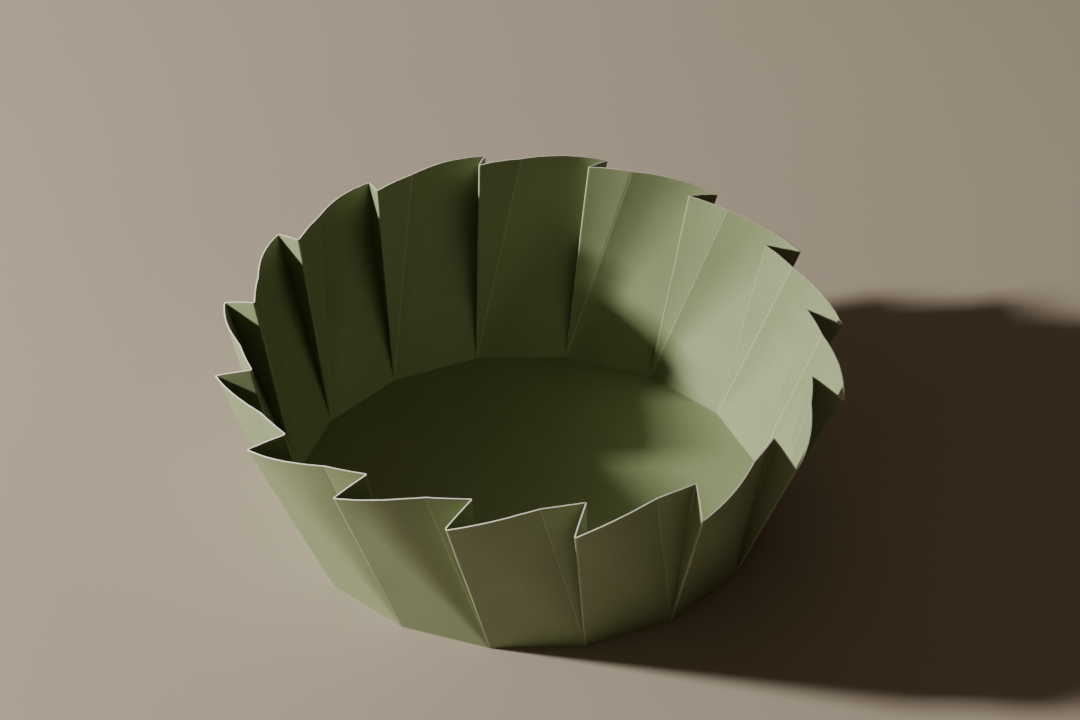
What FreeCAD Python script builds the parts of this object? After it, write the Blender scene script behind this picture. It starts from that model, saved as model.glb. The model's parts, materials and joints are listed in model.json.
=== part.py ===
"""Pleated cake vessel, folded from one flat disc of coated card.

The disc keeps a regular polygon in the middle as the flat base. Every base edge
carries a leaning wall, and every base corner carries one pleat: a long gusset that
carries on from the wall beside it, and a short return that doubles back behind the
gusset to the next wall. All pleats lie the same way round, so the rim is a saw-tooth.

Each panel between two creases is its own rigid plate, cut back a little from its
creases. The creases are the hinges, and they lie in the middle of the card's
thickness. The frame stands on the floor: origin under the centre of the base, +Z up,
first wall facing -Y, walls numbered anticlockwise seen from above.
"""
import FreeCAD, Part
import math
import os

# --- Driving dimensions, millimetres and degrees -------------------------------
panel_count = 16          # walls around the base, and pleats
base_radius = 120.0       # centre of the base to its corners
blank_radius = 228.0      # the flat disc before folding
card_thickness = 0.6
wall_rise = 68.5          # wall above the floor plane, at its base edge
crease_lean = 11.8        # both side creases of a wall lean this much off square
gusset_angle = 12.2       # long half of the pleat, measured at its base corner
base_edge_gap = 0.45       # panel edge to crease, where the card folds
gusset_edge_gap = 0.35
return_edge_gap = 0.9
free_edge_gap = 1.1       # inner crease, where the linkage is opened

# --- Worked out from them -------------------------------------------------------
sector = 360.0 / panel_count
return_angle = sector - gusset_angle
base_apothem = base_radius * math.cos(math.radians(sector / 2))
half_edge = base_radius * math.sin(math.radians(sector / 2))
mid_plane = card_thickness / 2

UP = FreeCAD.Vector(0, 0, 1)
CENTRE = FreeCAD.Vector(0, 0, mid_plane)


def heading(angle):
    """Unit vector in the flat card, at an angle from +X."""
    return FreeCAD.Vector(math.cos(math.radians(angle)), math.sin(math.radians(angle)), 0)


# Creases of the first wall in the flat card: where each starts and which way it runs.
# The base edge runs along +X from the left corner to the right one, outwards is -Y.
left_corner = FreeCAD.Vector(-half_edge, -base_apothem, mid_plane)
right_corner = FreeCAD.Vector(half_edge, -base_apothem, mid_plane)
side_heading = -90.0 - crease_lean
base_crease = (left_corner, heading(0))
return_crease = (left_corner, heading(side_heading))
gusset_crease = (right_corner, heading(side_heading))
gusset_free_edge = (right_corner, heading(side_heading + gusset_angle))
return_free_edge = (left_corner, heading(side_heading - return_angle))


# --- Outlines in the flat card ----------------------------------------------------
def shifted(line, gap):
    """A line in the flat card moved to its own left by gap."""
    point, direction = line
    return point + UP.cross(direction) * gap, direction


def crossing(line_a, line_b):
    """Where two lines in the flat card meet."""
    (point_a, along_a), (point_b, along_b) = line_a, line_b
    across_b = UP.cross(along_b)
    distance = (point_b - point_a).dot(across_b) / along_a.dot(across_b)
    return point_a + along_a * distance


def rim_point(line):
    """Where a line from inside the disc runs out over the disc's edge."""
    point, direction = line
    from_centre = point - CENTRE
    along = from_centre.dot(direction)
    reach = math.sqrt(along ** 2 + blank_radius ** 2 - from_centre.dot(from_centre))
    return point + direction * (reach - along)


def rim_arc(start, end):
    """Piece of the disc's edge between two of its points."""
    middle = (start + end) * 0.5 - CENTRE
    crown = CENTRE + middle.normalize() * blank_radius
    return Part.Arc(start, crown, end).toShape()


def plate(edges):
    """Card plate with the given outline, half its thickness on each side of it."""
    face = Part.Face(Part.Wire(edges))
    face.translate(UP * -mid_plane)
    return face.extrude(UP * card_thickness)


def panel(left_side, right_side, foot=None):
    """Plate between two creases that run outwards to the rim, and its foot line."""
    if foot is None:
        feet = [crossing(left_side, right_side)]
    else:
        feet = [crossing(left_side, foot), crossing(foot, right_side)]
    left_tip = rim_point(left_side)
    right_tip = rim_point(right_side)
    corners = [left_tip] + feet + [right_tip]
    edges = [Part.makeLine(a, b) for a, b in zip(corners, corners[1:])]
    return plate(edges + [rim_arc(right_tip, left_tip)])


def flat_wall():
    left = shifted(return_crease, return_edge_gap)
    right = shifted(gusset_crease, -gusset_edge_gap)
    return panel(left, right, shifted(base_crease, -base_edge_gap))


def flat_gusset():
    left = shifted(gusset_crease, gusset_edge_gap)
    right = shifted(gusset_free_edge, -free_edge_gap)
    return panel(left, right)


def flat_return():
    left = shifted(return_free_edge, free_edge_gap)
    right = shifted(return_crease, -return_edge_gap)
    return panel(left, right)


def base_plate():
    corner = (base_apothem - base_edge_gap) / math.cos(math.radians(sector / 2))
    ring = [CENTRE + heading(sector * (step - 0.5)) * corner for step in range(panel_count)]
    edges = [Part.makeLine(a, b) for a, b in zip(ring, ring[1:] + ring[:1])]
    return plate(edges)


# --- Folding ------------------------------------------------------------------------
def unit_turned(vector, axis, angle):
    return FreeCAD.Rotation(axis, angle).multVec(vector)


def turn_about(axis, start, end):
    """Signed angle about an axis from one direction to another, both square to it."""
    return math.degrees(math.atan2(start.cross(end).dot(axis), start.dot(end)))


def pleat_folds():
    """Fold angles of the gusset and the return that let the pleat close.

    At a base corner the gusset crease of one wall and the return crease of the next
    point in known directions once the walls stand up. The inner crease between them
    lies gusset_angle from the first and return_angle from the second.
    """
    lift_axis = heading(180)
    next_lift_axis = unit_turned(lift_axis, UP, sector)
    first = unit_turned(gusset_crease[1], lift_axis, wall_rise)
    wall_face = unit_turned(UP, lift_axis, wall_rise)
    next_flat = unit_turned(return_crease[1], UP, sector)
    second = unit_turned(next_flat, next_lift_axis, wall_rise)
    next_face = unit_turned(UP, next_lift_axis, wall_rise)

    spread = first.dot(second)
    cos_gusset = math.cos(math.radians(gusset_angle))
    cos_return = math.cos(math.radians(return_angle))
    part_first = (cos_gusset - cos_return * spread) / (1 - spread ** 2)
    part_second = (cos_return - cos_gusset * spread) / (1 - spread ** 2)
    in_plane = first * part_first + second * part_second
    inwards = first.cross(second).normalize()
    height = math.sqrt(1 - in_plane.dot(in_plane))
    inner_crease = in_plane + inwards * height

    gusset_face = first.cross(inner_crease).normalize()
    return_face = inner_crease.cross(second).normalize()
    gusset_fold = turn_about(first, wall_face, gusset_face)
    return_fold = turn_about(second, return_face, next_face)
    return gusset_fold, return_fold


gusset_fold, return_fold = pleat_folds()


def folded(shape, crease, angle):
    """Shape turned about a crease, right-handed about the crease's own heading."""
    moved = shape.copy()
    moved.rotate(crease[0], crease[1], angle)
    return moved


def around(shape, step):
    """The same piece on another side of the base."""
    moved = shape.copy()
    moved.rotate(CENTRE, UP, step * sector)
    return moved


def write(shape, node):
    shape.exportStep(os.path.join("parts", node + ".step"))


os.makedirs("parts", exist_ok=True)
wall = folded(flat_wall(), base_crease, -wall_rise)
gusset = folded(flat_gusset(), gusset_crease, gusset_fold)
gusset = folded(gusset, base_crease, -wall_rise)
short_return = folded(flat_return(), return_crease, -return_fold)
short_return = folded(short_return, base_crease, -wall_rise)

write(base_plate(), "base")
for step in range(panel_count):
    number = "%02d" % (step + 1)
    write(around(wall, step), "wall_" + number)
    write(around(gusset, step), "gusset_" + number)
    write(around(short_return, step), "return_" + number)
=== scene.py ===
import json
import math
import bmesh
import bpy
import numpy as np
from mathutils import Matrix, Vector


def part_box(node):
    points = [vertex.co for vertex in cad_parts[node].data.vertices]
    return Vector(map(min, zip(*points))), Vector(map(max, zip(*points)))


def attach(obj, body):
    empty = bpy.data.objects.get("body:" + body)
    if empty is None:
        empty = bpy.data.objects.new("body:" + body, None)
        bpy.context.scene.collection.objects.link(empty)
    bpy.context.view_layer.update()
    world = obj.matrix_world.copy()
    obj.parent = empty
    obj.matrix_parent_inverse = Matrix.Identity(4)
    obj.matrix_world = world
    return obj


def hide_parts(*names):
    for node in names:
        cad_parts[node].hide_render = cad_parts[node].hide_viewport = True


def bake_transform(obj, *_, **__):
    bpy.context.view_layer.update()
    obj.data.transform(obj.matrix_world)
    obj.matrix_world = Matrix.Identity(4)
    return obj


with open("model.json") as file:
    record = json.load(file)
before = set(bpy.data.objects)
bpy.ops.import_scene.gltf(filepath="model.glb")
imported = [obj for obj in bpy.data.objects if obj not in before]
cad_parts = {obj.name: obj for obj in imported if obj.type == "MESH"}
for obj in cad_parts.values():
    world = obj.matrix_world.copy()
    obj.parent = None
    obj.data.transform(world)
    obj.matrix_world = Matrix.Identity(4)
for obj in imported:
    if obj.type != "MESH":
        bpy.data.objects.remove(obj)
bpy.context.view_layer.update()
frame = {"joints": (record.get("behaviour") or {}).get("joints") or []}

# ---------------------------------------------------------------- Standing place
# A plain pale table top that sweeps up behind, one small lamp low on the left and a
# weak wide fill in front. None of this belongs to the vessel.

camera_distance = 3.048                   # metres and radians in the whole file
camera_elevation = math.radians(38.55)
camera_azimuth = math.radians(2.29)       # round from the first wall, to its left
camera_heading = math.radians(2.41)
camera_pitch = math.radians(37.23)
camera_roll = math.radians(0.46)

camera = bpy.data.objects.new("camera", bpy.data.cameras.new("camera"))
bpy.context.scene.collection.objects.link(camera)
camera.data.sensor_width = 36.0
camera.data.lens = 200.0
camera.data.clip_start, camera.data.clip_end = 0.1, 30.0
level = camera_distance * math.cos(camera_elevation)
place = Vector((-level * math.sin(camera_azimuth), -level * math.cos(camera_azimuth),
                camera_distance * math.sin(camera_elevation)))
camera.matrix_world = (Matrix.Translation(place)
                       @ Matrix.Rotation(-camera_heading, 4, "Z")
                       @ Matrix.Rotation(math.pi / 2 - camera_pitch, 4, "X")
                       @ Matrix.Rotation(camera_roll, 4, "Z"))
bpy.context.scene.camera = camera


class Value:
    """A number or a vector that varies over a card or its finish. Sums on it add nodes."""

    def __init__(self, tree, socket):
        self.tree, self.socket = tree, socket

    def add(self, kind, settings=None, sockets=None, take=0):
        """Adds one node: its type, its settings, its sockets' values or links."""
        node = self.tree.nodes.new(kind)
        for name, setting in (settings or {}).items():
            setattr(node, name, setting)
        for name, content in (sockets or {}).items():
            if isinstance(content, Value):
                self.tree.links.new(content.socket, node.inputs[name])
            else:
                node.inputs[name].default_value = content
        return Value(self.tree, node.outputs[take] if len(node.outputs) else None)

    def other(self, take):
        """Another output of the node that made this value."""
        return Value(self.tree, self.socket.node.outputs[take])

    def maths(self, operation, *sides):
        """Adds a Math node on the given sides, or a Vector Math node if one is a vector."""
        vector = [s for s in sides if isinstance(s, Value) and s.socket.type == "VECTOR"]
        kind = "ShaderNodeVectorMath" if vector else "ShaderNodeMath"
        return self.add(kind, {"operation": operation}, dict(enumerate(sides)))

    def __add__(self, side):
        return self.maths("ADD", self, side)

    def __radd__(self, side):
        return self.maths("ADD", side, self)

    def __sub__(self, side):
        return self.maths("SUBTRACT", self, side)

    def __rsub__(self, side):
        return self.maths("SUBTRACT", side, self)

    def __mul__(self, side):
        if self.socket.type == "VECTOR":
            return self.add("ShaderNodeVectorMath", {"operation": "SCALE"},
                            {0: self, "Scale": side})
        return self.maths("MULTIPLY", self, side)

    def __rmul__(self, side):
        return self * side

    def __truediv__(self, side):
        return self.maths("DIVIDE", self, side)

    def __neg__(self):
        return self * -1.0

    def at(self, component):
        """One component of a vector."""
        return self.add("ShaderNodeSeparateXYZ", None, {0: self}, component)

    def mapped(self, low, high, to_low=0.0, to_high=1.0, kind="LINEAR"):
        return self.add("ShaderNodeMapRange", {"interpolation_type": kind},
                        {"Value": self, "From Min": low, "From Max": high,
                         "To Min": to_low, "To Max": to_high})

    def tinted(self, low_colour, high_colour):
        """Goes from one colour to another as this number goes from 0 to 1."""
        colours = {6: low_colour, 7: high_colour, 0: self}
        return self.add("ShaderNodeMix", {"data_type": "RGBA"}, colours, 2)


def finish(name):
    """A new material with its shader, and the Value that its nodes start from."""
    material = bpy.data.materials.new(name)
    material.use_nodes = True
    shader = material.node_tree.nodes["Principled BSDF"]
    return material, shader, Value(material.node_tree, None)


def feed(shader, socket, value):
    value.tree.links.new(value.socket, shader.inputs[socket])


def mesh_piece(name, vertices, faces):
    mesh = bpy.data.meshes.new(name)
    mesh.from_pydata(vertices, [], faces)
    piece = bpy.data.objects.new(name, mesh)
    bpy.context.scene.collection.objects.link(piece)
    return piece


table_finish, shader, start = finish("table_top")
where = start.add("ShaderNodeTexCoord", take="Object")
cloudy = start.add("ShaderNodeTexNoise", None, {"Vector": where, "Scale": 3.0, "Detail": 4.0})
feed(shader, "Base Color", cloudy.tinted((0.345, 0.300, 0.245, 1), (0.39, 0.345, 0.285, 1)))
shader.inputs["Roughness"].default_value = 0.75

# The table runs back level and then sweeps up, so there is no line behind the vessel.
sweep_start, sweep_radius, table_half = 1.6, 1.2, 6.0
profile = [(-4.0, 0.0), (sweep_start, 0.0)]
profile += [(sweep_start + sweep_radius * math.sin(a), sweep_radius * (1 - math.cos(a)))
            for a in np.linspace(0, math.pi / 2, 25)[1:]]
profile += [(sweep_start + sweep_radius, 5.0)]
table = mesh_piece("table_top",
                   [(side * table_half, y, z) for y, z in profile for side in (-1, 1)],
                   [(2 * i, 2 * i + 1, 2 * i + 3, 2 * i + 2) for i in range(len(profile) - 1)])
table.data.materials.append(table_finish)
table.data.shade_smooth()


def lamp(name, place, power, width, height, colour):
    data = bpy.data.lights.new(name, "AREA")
    data.shape, data.size, data.size_y = "RECTANGLE", width, height
    data.energy, data.color = power, colour
    light = bpy.data.objects.new(name, data)
    light.location = place
    light.rotation_euler = (-Vector(place)).to_track_quat("-Z", "Y").to_euler()
    bpy.context.scene.collection.objects.link(light)


# Each lamp: where it stands, watts, width, height and colour.
lamp("key_lamp", (-2.55, 0.06, 1.22), 182.0, 0.22, 0.22, (1.0, 0.94, 0.84))
lamp("fill_lamp", (-1.3, -2.3, 1.2), 1.2, 1.6, 1.2, (1.0, 0.82, 0.62))
world = bpy.data.worlds.new("studio")
world.use_nodes = True
world.node_tree.nodes["Background"].inputs["Color"].default_value = (1.0, 0.76, 0.52, 1)
world.node_tree.nodes["Background"].inputs["Strength"].default_value = 0.095
bpy.context.scene.world = world

# ------------------------------------------------------------------------- Base
# The flat middle of the one sheet of coated card: a sixteen-sided base whose edges
# are scored creases. It is sage green on both faces, and it is cut, scored and
# folded together with the rest of the sheet, so nothing is glued or fixed to it.

joints = {joint["name"]: joint for joint in frame["joints"]}
wall_count = sum(name.startswith("wall_") for name in joints)
sector = 2 * math.pi / wall_count
card_low, card_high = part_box("base")
half_card = (card_high.z - card_low.z) / 2
wall_numbers = ["%02d" % (n + 1) for n in range(wall_count)]
fold_limit = {n: math.radians(joints["wall_%s_fold" % n]["range_deg"][1]) for n in wall_numbers}
corner_left = {n: Vector(joints["wall_%s_fold" % n]["pos_m"]) for n in wall_numbers}
along = {n: Vector(joints["wall_%s_fold" % n]["axis"]).normalized() for n in wall_numbers}
UP = Vector((0, 0, 1))

# Hand-folded card never springs back the same everywhere: these walls stand a
# little steeper than the rest, in degrees.
steeper = dict(zip(wall_numbers, (4.0, 3.0, 0.2, 0.0, 0.6, 1.6, 0.2, 0.0,
                                  0.0, 0.0, 0.0, 0.5, 1.2, 1.9, 0.4, 3.2)))
rise = {n: fold_limit[n] + math.radians(steeper[n]) for n in wall_numbers}
outward = {n: along[n].cross(UP) for n in wall_numbers}
up_wall = {n: outward[n] * math.cos(rise[n]) + UP * math.sin(rise[n]) for n in wall_numbers}
wall_face = {n: up_wall[n].cross(along[n]) for n in wall_numbers}


def following(n):
    return wall_numbers[int(n) % wall_count]


def crease_mitre(n):
    """From the middle of the card to its upper face at a wall's base crease."""
    return (UP + wall_face[n]) / (1 + UP.dot(wall_face[n]))


# Sage coating over white board. Its pattern follows the flat disc, through the
# attribute "blank", and "gap" says how far a crease on each side and the rim are.
sage_deep, sage_mid = (0.222, 0.284, 0.150, 1), (0.252, 0.314, 0.170, 1)
sage_pale, speck_green = (0.275, 0.335, 0.188, 1), (0.15, 0.17, 0.10, 1)
rubbed_green = (0.50, 0.53, 0.40, 1)
score_start, score_end, rim_wear = 0.0001, 0.0006, 0.0012

card, shader, start = finish("sage_card")
blank = start.add("ShaderNodeAttribute", {"attribute_name": "blank"}, take="Vector")
gap = start.add("ShaderNodeAttribute", {"attribute_name": "gap"}, take="Vector")
pulp = start.add("ShaderNodeTexNoise", None,
                 {"Vector": blank, "Scale": 34.0, "Detail": 5.0, "Roughness": 0.6})
sheet_tone = start.add("ShaderNodeTexNoise", None,
                       {"Vector": blank, "Scale": 9.0, "Detail": 2.0})
grain = start.add("ShaderNodeTexNoise", None,
                  {"Vector": blank, "Scale": 1400.0, "Detail": 3.0, "Roughness": 0.65})
fibre = start.add("ShaderNodeTexNoise", None,
                  {"Vector": blank, "Scale": 420.0, "Detail": 4.0, "Distortion": 1.2})
specks = start.add("ShaderNodeTexVoronoi", None, {"Vector": blank, "Scale": 260.0})
speck = specks.mapped(0.05, 0.13, 1.0, 0.0) * pulp.mapped(0.55, 0.62)
near_rim = gap.at(2).mapped(0.0, rim_wear, 1.0, 0.0, "SMOOTHSTEP")
score_first = gap.at(0).mapped(score_start, score_end, 1.0, 0.0, "SMOOTHSTEP")
score_last = gap.at(1).mapped(score_start, score_end, 1.0, 0.0, "SMOOTHSTEP")
score = score_first.maths("MAXIMUM", score_first, score_last)
along_score = score * fibre.mapped(0.3, 0.6, 0.55, 1.0)
along_rim = near_rim * fibre.mapped(0.42, 0.6) * 0.6
rubbed = along_score.maths("MAXIMUM", along_score, along_rim)
green = sheet_tone.mapped(0.3, 0.7).tinted(sage_deep, sage_mid)
green = (pulp.mapped(0.35, 0.7) * 0.35).tinted(green, sage_pale)
green = (speck * 0.35).tinted(green, speck_green)
green = (rubbed * 0.55).tinted(green, rubbed_green)
feed(shader, "Base Color", green)
scuff = start.add("ShaderNodeTexNoise", None,
                  {"Vector": blank, "Scale": 70.0, "Detail": 6.0, "Distortion": 2.5})
feed(shader, "Roughness", 0.40 + pulp * 0.12 + scuff.mapped(0.56, 0.66) * 0.1 + rubbed * 0.2)
shader.inputs["Specular IOR Level"].default_value = 0.42
relief = grain * 0.012 + fibre * 0.010 + scuff * 0.012 - score * 0.07 + speck * 0.01
bump = start.add("ShaderNodeBump", None, {"Strength": 0.55, "Distance": 0.001, "Height": relief})
feed(shader, "Normal", bump)

# The cut edge shows the white board inside, a little soiled in places.
board_dull, board_white = (0.84, 0.83, 0.76, 1), (0.95, 0.94, 0.89, 1)
board_soiled = (0.50, 0.51, 0.38, 1)

core, shader, start = finish("card_core")
place = start.add("ShaderNodeAttribute", {"attribute_name": "blank"}, take="Vector")
ply = start.add("ShaderNodeTexNoise", None, {"Vector": place, "Scale": 900.0, "Detail": 4.0})
soil = start.add("ShaderNodeTexNoise", None, {"Vector": place, "Scale": 60.0, "Detail": 3.0})
white = ply.mapped(0.3, 0.7).tinted(board_dull, board_white)
feed(shader, "Base Color", (soil.mapped(0.5, 0.7) * 0.3).tinted(white, board_soiled))
feed(shader, "Roughness", 0.78 + ply * 0.15)
feed(shader, "Normal", start.add("ShaderNodeBump", None, {
    "Strength": 0.6, "Distance": 0.0004, "Height": ply}))

# The base is drawn in rings, so that its edge rings can hold the scored crease.
ring_gaps = (0.0, 0.0003, 0.0008, 0.0016, 0.004, 0.02, 0.06)
not_near = 1.0                            # a gap too wide to show any wear
corners = [corner_left[n] for n in wall_numbers]
base_radius = corners[0].xy.length
corner_mitre = [(crease_mitre(wall_numbers[i - 1]) + crease_mitre(wall_numbers[i])) / 2
                for i in range(wall_count)]
vertices, blank_places, gaps = [], [], []
for face in (1, -1):
    for ring_gap in ring_gaps:
        shrink = 1 - ring_gap / base_radius
        for corner, mitre in zip(corners, corner_mitre):
            lift = mitre if ring_gap == 0 else UP
            vertices.append(Vector((corner.x * shrink, corner.y * shrink, corner.z))
                            + lift * half_card * face)
            blank_places.append((corner.x * shrink, corner.y * shrink, 0))
            gaps.append((ring_gap, not_near, not_near))
rings, faces = len(ring_gaps), []
for face in range(2):
    for ring in range(rings - 1):
        row = (face * rings + ring) * wall_count
        for i in range(wall_count):
            j = (i + 1) % wall_count
            faces.append((row + i, row + j, row + wall_count + j, row + wall_count + i))
    middle = (face * rings + rings - 1) * wall_count
    faces.append(tuple(range(middle, middle + wall_count)))
for i in range(wall_count):
    j = (i + 1) % wall_count
    faces.append((i, j, rings * wall_count + j, rings * wall_count + i))


hard_edge = math.radians(40)


def closed_piece(piece, attributes=None):
    """Turns every face of a closed piece outwards and smooths all but its hard edges."""
    mesh = piece.data
    for name, content in (attributes or {}).items():
        layer = mesh.attributes.new(name, "FLOAT_VECTOR", "POINT")
        layer.data.foreach_set("vector", np.array(content, np.float32).ravel())
    work = bmesh.new()
    work.from_mesh(mesh)
    bmesh.ops.recalc_face_normals(work, faces=work.faces)
    work.to_mesh(mesh)
    work.free()
    mesh.shade_smooth()
    mesh.set_sharp_from_angle(angle=hard_edge)
    return piece


base_card = closed_piece(mesh_piece("base_card", vertices, faces),
                         {"blank": blank_places, "gap": gaps})
base_card.data.materials.append(card)
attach(base_card, "base")
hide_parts("base")

# -------------------------------------------------------------- Walls and pleats
# The rest of the same sheet: sixteen walls, each with a gusset that carries on from
# its right side over a soft crease and a short return doubled back under the next
# wall. The card bows slightly across each wall, because the pleat pulls it inwards.

crease_lean = math.radians(11.8)
blank_radius = 0.225                      # of the flat disc, on average
gusset_angle = math.radians(11.7)
return_angle = sector - gusset_angle
bow_start = math.radians(56.8)            # the wall is flat up to here, from its base edge
bow_span = math.radians(14.0)             # then bends along the line to its outer tip
slack_share = 0.5                         # and less from there to the soft crease
soft_crease_width = math.radians(0.6)
soft_crease_fold = math.radians(-10.0)    # the gusset turns back by this much there
hard_crease_half = math.radians(0.32)     # half the width of a crease folded right over
out_of_round = 0.003                      # more to front and back, less to the sides
cut_wander = 0.0006                       # of the knife along the disc's edge
ripple = 0.0022                           # of the hand-folded card between its creases
wander_scale, ripple_scale = 160.0, 11.0  # waves of both, per metre
ripple_starts, ripple_full = 0.121, 0.19  # from the middle of the disc
squeeze_share = 0.8                       # of the room inside a tight crease
span_inside = 0.02                        # part of a span left out at each of its ends
same_point = 2e-7
gusset_side = math.pi / 2 - crease_lean   # of the soft crease, from the base edge
return_side = math.pi / 2 + crease_lean   # of the outer crease, from the base edge
side_length = (corner_left["02"] - corner_left["01"]).length
apothem = math.sqrt(corner_left["01"].xy.length_squared - side_length ** 2 / 4)


def walked(ruling, across, spans):
    """Follows the card round a base corner. Each span is an angle in the flat card
    and how sharply the card bends over it. The creases and bends all pass through
    the corner, so the card turns about one fixed line in every span."""
    for angle, bend in spans:
        line = ruling.cross(across) + bend * ruling
        turn = Matrix.Rotation(line.length * angle, 3, line)
        ruling, across = turn @ ruling, turn @ across
    return ruling, across


def wall_spans(bow):
    return [(bow_start, 0.0), (bow_span, bow),
            (gusset_side - bow_start - bow_span, bow * slack_share)]


def gusset_spans(bow, inner_fold):
    slack = bow * slack_share
    return [(soft_crease_width, slack + soft_crease_fold / soft_crease_width),
            (gusset_angle - soft_crease_width - hard_crease_half, slack),
            (hard_crease_half, -inner_fold / (2 * hard_crease_half))]


def return_spans(inner_fold, outer_fold):
    return [(2 * hard_crease_half, -outer_fold / (2 * hard_crease_half)),
            (return_angle - 2 * hard_crease_half, 0.0),
            (hard_crease_half, inner_fold / (2 * hard_crease_half))]


def wall_start(n):
    """At the right corner of a wall, along its base edge and square to it."""
    return -along[n], up_wall[n]


def return_start(n):
    """At the left corner of a wall, where its outer crease begins."""
    angle = return_side - hard_crease_half
    return (along[n] * math.cos(angle) + up_wall[n] * math.sin(angle),
            up_wall[n] * math.cos(angle) - along[n] * math.sin(angle))


first_guess = (1.1, math.radians(134), math.radians(120))
nudge, longest_step, close_enough, most_tries = 1e-4, 0.3, 1e-10, 30


def pleat_bends(n):
    """The bow and the two folds that let the pleat right of a wall close. The gusset
    and the return meet there, so the folding has to bring both to the same line."""

    def miss(bends):
        bow, inner_fold, outer_fold = (float(bend) for bend in bends)
        spans = wall_spans(bow) + gusset_spans(bow, inner_fold)
        ruling, across = walked(*wall_start(n), spans)
        back, back_across = walked(*return_start(following(n)),
                                   return_spans(inner_fold, outer_fold))
        return np.array([ruling.dot(back_across), ruling.dot(back.cross(back_across)),
                         across.dot(back.cross(back_across))])

    bends = np.array(first_guess)
    for _ in range(most_tries):
        now = miss(bends)
        slopes = np.column_stack([(miss(bends + step) - now) / nudge
                                  for step in np.eye(3) * nudge])
        change = np.linalg.solve(slopes, -now)
        bends = bends + change * min(1.0, longest_step / np.abs(change).max())
        if np.abs(change).max() < close_enough:
            break
    return [float(bend) for bend in bends]


bends = {n: pleat_bends(n) for n in wall_numbers}


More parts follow.
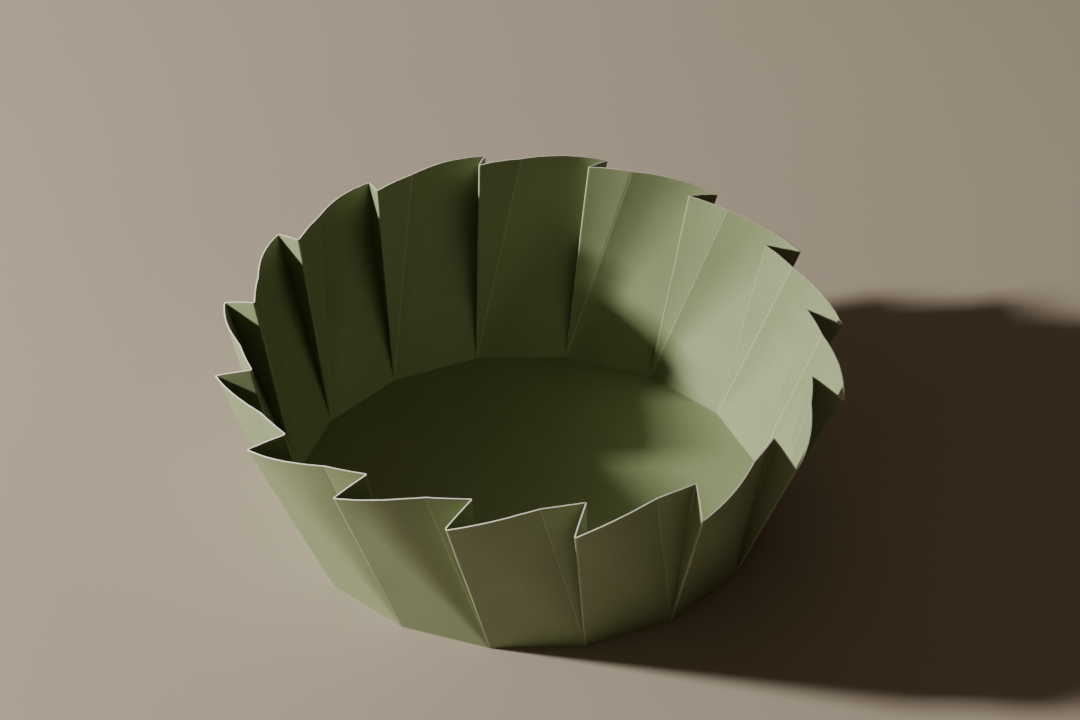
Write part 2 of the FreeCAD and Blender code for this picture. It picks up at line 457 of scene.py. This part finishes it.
def panel_tree():
    """Geometry Nodes that draw one panel flat in the disc, fold it and thicken it."""
    tree = bpy.data.node_groups.new("card_panel", "GeometryNodeTree")
    tree.is_modifier = True
    tree.interface.new_socket("Card", in_out="OUTPUT", socket_type="NodeSocketGeometry")
    wanted = {
        "Int": ("Columns", "Rows"),
        "Float": ("First share", "Second share", "First part", "Second part",
                  "First heading", "Last heading", "Half edge", "Apothem", "Blank radius",
                  "Start angle", "First span", "First bend", "Second span", "Second bend",
                  "Third span", "Third bend", "Face side", "Half card", "Cut wander",
                  "Ripple", "Out of round"),
        "Vector": ("First foot", "Last foot", "Corner", "Start ruling", "Start across",
                   "Foot normal", "Blank along", "Blank outward"),
        "Material": ("Card finish", "Core finish")}
    for kind, names in wanted.items():
        for name in names:
            tree.interface.new_socket(name, in_out="INPUT", socket_type="NodeSocket" + kind)
    entry = tree.nodes.new("NodeGroupInput")
    leave = tree.nodes.new("NodeGroupOutput")
    given = {socket.name: Value(tree, socket) for socket in entry.outputs if socket.name}
    start = Value(tree, None)

    grid = start.add("GeometryNodeMeshGrid", None,
                     {"Size X": 1.0, "Size Y": 1.0, "Vertices X": given["Columns"],
                      "Vertices Y": given["Rows"]})
    place = start.add("GeometryNodeInputPosition")
    across = place.at(0) + 0.5
    up = place.at(1) + 0.5
    first, second = given["First share"], given["Second share"]
    part = (across.mapped(0.0, first, 0.0, given["First part"])
            + across.mapped(first, second, 0.0, given["Second part"] - given["First part"])
            + across.mapped(second, 1.0, 0.0, 1.0 - given["Second part"]))

    # The panel in the flat card: x along the base edge, y outwards from it.
    heading = given["First heading"] + (given["Last heading"] - given["First heading"]) * part
    foot = given["First foot"] + (given["Last foot"] - given["First foot"]) * part

    def flat_line(angle):
        return start.add("ShaderNodeCombineXYZ", None,
                         {0: -angle.maths("COSINE", angle), 1: angle.maths("SINE", angle)})

    def dot(one, two):
        return start.add("ShaderNodeVectorMath", {"operation": "DOT_PRODUCT"},
                         {0: one, 1: two}, "Value")

    def cross(one, two):
        return start.add("ShaderNodeVectorMath", {"operation": "CROSS_PRODUCT"},
                         {0: one, 1: two})

    line = flat_line(heading)
    from_centre = foot + start.add("ShaderNodeCombineXYZ", None, {1: given["Apothem"]})
    lean = dot(from_centre, line)
    inside = (lean * lean + given["Blank radius"] * given["Blank radius"]
              - dot(from_centre, from_centre))
    reach = inside.maths("SQRT", inside) - lean

    def in_blank(place):
        return (given["Blank along"] * place.at(0)
                + given["Blank outward"] * (place.at(1) + given["Apothem"]))

    def unevenness(place, scale):
        noise = start.add("ShaderNodeTexNoise", None, {
            "Vector": in_blank(place), "Scale": scale, "Detail": 2.0})
        return noise - 0.5

    # The disc is cut a little longer from front to back than from side to side, and
    # the knife wanders a little along its edge.
    edge_line = foot + line * reach
    edge = in_blank(edge_line)
    long_way = (edge.at(1) * edge.at(1) - edge.at(0) * edge.at(0)) / (
        given["Blank radius"] * given["Blank radius"])
    reach = (reach + long_way * given["Out of round"]
             + unevenness(edge_line, wander_scale) * given["Cut wander"])
    flat = foot + line * (reach * up)
    corner_flat = start.add("ShaderNodeCombineXYZ", None, {0: given["Half edge"]})
    from_corner = flat - corner_flat
    distance = start.add("ShaderNodeVectorMath", {"operation": "LENGTH"},
                         {0: from_corner}, "Value")
    turned = from_corner.maths("ARCTAN2", from_corner.at(1), -from_corner.at(0))
    gone = turned - given["Start angle"]

    # Folding: the ruling through the corner is carried over the three spans.
    ruling, square = given["Start ruling"], given["Start across"]
    passed, tightest = 0.0, 0.0
    for name in ("First", "Second", "Third"):
        span, bend = given[name + " span"], given[name + " bend"]
        amount = (gone - passed).mapped(0.0, span, 0.0, span)
        turn_line = cross(ruling, square) + ruling * bend
        share = bend * bend + 1.0
        turn = amount * share.maths("SQRT", share)
        inside = amount.maths("GREATER_THAN", amount / span, span_inside)
        if name != "Third":
            inside = inside * amount.maths("LESS_THAN", amount / span, 1 - span_inside)
        tightest = inside * bend.maths("ABSOLUTE", bend) + tightest
        ruling, square = [start.add("ShaderNodeVectorRotate", {"rotation_type": "AXIS_ANGLE"},
                                    {"Vector": v, "Axis": turn_line, "Angle": turn})
                          for v in (ruling, square)]
        passed = span + passed
    # Between its creases the card ripples a little to both sides.
    face = cross(ruling, square) * given["Face side"]
    from_middle = start.add("ShaderNodeVectorMath", {"operation": "LENGTH"},
                            {0: in_blank(flat)}, "Value")
    free = from_middle.mapped(ripple_starts, ripple_full)
    folded = given["Corner"] + ruling * distance
    folded = folded + face * (unevenness(flat, ripple_scale) * given["Ripple"] * free)

    # Half the card's thickness to each side, with mitred feet. Inside a tight crease
    # near the corner the card is squeezed thinner.
    squeezed = distance * squeeze_share / tightest.maths("MAXIMUM", tightest, 0.001)
    squeezed = squeezed.maths("MINIMUM", squeezed, given["Half card"])
    at_foot = up.mapped(0.0, 0.001, 1.0, 0.0)
    half = squeezed + (given["Half card"] - squeezed) * at_foot
    upper = start.add("ShaderNodeMix", {"data_type": "VECTOR"},
                      {0: at_foot, 4: face, 5: given["Foot normal"]}, 1) * half

    def off_line(point, point_on, angle):
        off = cross(point - point_on, flat_line(angle)).at(2)
        return off.maths("ABSOLUTE", off)

    gap = start.add("ShaderNodeCombineXYZ", None, {
        0: off_line(flat, given["First foot"], given["First heading"]),
        1: off_line(flat, given["Last foot"], given["Last heading"]),
        2: reach * (1.0 - up)})

    def kept(geometry, name, value, kind="FLOAT_VECTOR", domain="POINT"):
        return start.add("GeometryNodeStoreNamedAttribute",
                         {"data_type": kind, "domain": domain},
                         {"Geometry": geometry, "Name": name, "Value": value})

    def read(name, kind="FLOAT_VECTOR"):
        return start.add("GeometryNodeInputNamedAttribute", {"data_type": kind}, {"Name": name})

    sheet = kept(kept(kept(grid, "upper", upper), "gap", gap), "blank", in_blank(flat))
    sheet = kept(sheet, "rim", up.mapped(0.999, 1.0), "FLOAT")
    sheet = start.add("GeometryNodeSetPosition", None, {"Geometry": sheet, "Position": folded})
    front = start.add("GeometryNodeSetPosition", None,
                      {"Geometry": sheet, "Offset": read("upper")})
    back = start.add("GeometryNodeSetPosition", None,
                     {"Geometry": sheet, "Offset": -read("upper")})
    back = start.add("GeometryNodeFlipFaces", None, {"Mesh": back})
    sides_near = start.add("GeometryNodeInputMeshEdgeNeighbors")
    border = sides_near.maths("COMPARE", sides_near, 1.0)
    border.socket.node.inputs[2].default_value = 0.1
    sides = start.add("GeometryNodeExtrudeMesh", {"mode": "EDGES"},
                      {"Mesh": front, "Selection": border, "Offset Scale": 0.0})
    top, side = sides.other("Top"), sides.other("Side")
    sides = start.add("GeometryNodeSetPosition", None,
                      {"Geometry": sides, "Selection": top, "Offset": read("upper") * -2.0})
    cut = side * read("rim", "FLOAT")
    sides = kept(sides, "cut", cut.maths("GREATER_THAN", cut, 0.99), "FLOAT", "FACE")
    joined = start.add("GeometryNodeJoinGeometry")
    for geometry in (sides, back):
        tree.links.new(geometry.socket, joined.socket.node.inputs[0])
    closed = start.add("GeometryNodeMergeByDistance", None,
                       {"Geometry": joined, "Distance": same_point})
    real = start.add("GeometryNodeRealizeInstances", None, {"Geometry": closed})
    real = start.add("GeometryNodeSetMaterial", None,
                     {"Geometry": real, "Material": given["Card finish"]})
    real = start.add("GeometryNodeSetMaterial", None,
                     {"Geometry": real, "Selection": read("cut", "FLOAT"),
                      "Material": given["Core finish"]})
    tree.links.new(real.socket, leave.inputs[0])
    return tree


card_panel = panel_tree()
half_edge = side_length / 2
left_foot, right_foot = (-half_edge, 0, 0), (half_edge, 0, 0)


def panel(name, sizes):
    """A new object whose modifier makes one panel of card from its sizes."""
    piece = mesh_piece(name, [], [])
    modifier = piece.modifiers.new("card_panel", "NODES")
    modifier.node_group = card_panel
    for socket in card_panel.interface.items_tree:
        if socket.in_out == "INPUT":
            modifier[socket.identifier] = sizes[socket.name]
    return piece


def spans_of(spans):
    sizes = {}
    for name, (angle, bend) in zip(("First", "Second", "Third"), spans):
        sizes[name + " span"], sizes[name + " bend"] = angle, bend
    return sizes


def panel_sizes(n, corner, start, spans, headings, feet, **others):
    sizes = {"Columns": 25, "Rows": 37, "Half edge": half_edge, "Apothem": apothem,
             "Blank radius": blank_radius, "Corner": corner, "Start ruling": start[0],
             "Start across": start[1], "First heading": headings[0],
             "Last heading": headings[1], "First foot": feet[0], "Last foot": feet[1],
             "Half card": half_card, "Face side": 1.0, "Cut wander": cut_wander,
             "Ripple": ripple, "Out of round": out_of_round, "Start angle": headings[0],
             "Blank along": along[n], "Blank outward": outward[n], "Card finish": card,
             "Core finish": core}
    sizes.update(spans_of(spans))
    sizes.update(others)
    return sizes


panels = {}
for n in wall_numbers:
    bow, inner_fold, _ = bends[n]
    n_before = wall_numbers[int(n) - 2]
    right_corner = corner_left[following(n)]
    corner_up = (crease_mitre(n) + crease_mitre(following(n))) / 2
    left_up = (crease_mitre(n_before) + crease_mitre(n)) / 2
    panels["wall_" + n] = panel("wall_card_" + n, panel_sizes(
        n, right_corner, wall_start(n), wall_spans(bow),
        (gusset_side + hard_crease_half, gusset_side), (left_foot, right_foot),
        **{"Columns": 45, "Start angle": 0.0, "Foot normal": crease_mitre(n),
           "First share": 0.6, "First part": 0.5, "Second share": 0.9, "Second part": 0.87}))
    gusset_end = gusset_side + gusset_angle
    panels["gusset_" + n] = panel("gusset_card_" + n, panel_sizes(
        n, right_corner, walked(*wall_start(n), wall_spans(bow)),
        gusset_spans(bow, inner_fold), (gusset_side, gusset_end), (right_foot, right_foot),
        **{"Foot normal": corner_up,
           "First share": 0.15, "First part": soft_crease_width / gusset_angle,
           "Second share": 0.75, "Second part": 1 - hard_crease_half / gusset_angle}))
    _, inner_before, outer_before = bends[n_before]
    width = return_angle + hard_crease_half
    first_heading = return_side - hard_crease_half
    panels["return_" + n] = panel("return_card_" + n, panel_sizes(
        n, corner_left[n], return_start(n), return_spans(inner_before, outer_before),
        (first_heading, first_heading + width), (right_foot, right_foot),
        **{"Foot normal": left_up, "Face side": -1.0, "Blank along": -along[n],
           "First share": 0.4, "First part": 2 * hard_crease_half / width,
           "Second share": 0.75, "Second part": 1 - hard_crease_half / width}))

bpy.context.view_layer.update()
depsgraph = bpy.context.evaluated_depsgraph_get()
for node, piece in panels.items():
    made = bpy.data.meshes.new_from_object(piece.evaluated_get(depsgraph))
    piece.modifiers.clear()
    piece.data = made
    closed_piece(piece)
    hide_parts(node)

# Each panel's placing is baked into its mesh. The points worked out here, along the soft crease
# between wall and gusset and at the outer crease between wall and return, are passed on but not
# used.
halfway_out = 0.055                       # along the soft crease, from the base corner
soft_fold_reach = 0.006                   # to each side of it
outer_fold_depth = 0.0009                 # from the wall's face
for n in wall_numbers:
    soft_crease, square_to_it = walked(*wall_start(n), wall_spans(bends[n][0]))
    middle = corner_left[following(n)] + soft_crease * halfway_out
    reach = square_to_it * soft_fold_reach
    for kind in ("wall_", "gusset_"):
        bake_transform(panels[kind + n], "wall_" + n, "gusset_" + n, middle - reach, middle + reach)
    start_of_fold = corner_left[n] + wall_face[n] * half_card
    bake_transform(panels["return_" + n], "wall_" + n, "return_" + n,
             start_of_fold, start_of_fold + wall_face[n] * outer_fold_depth)
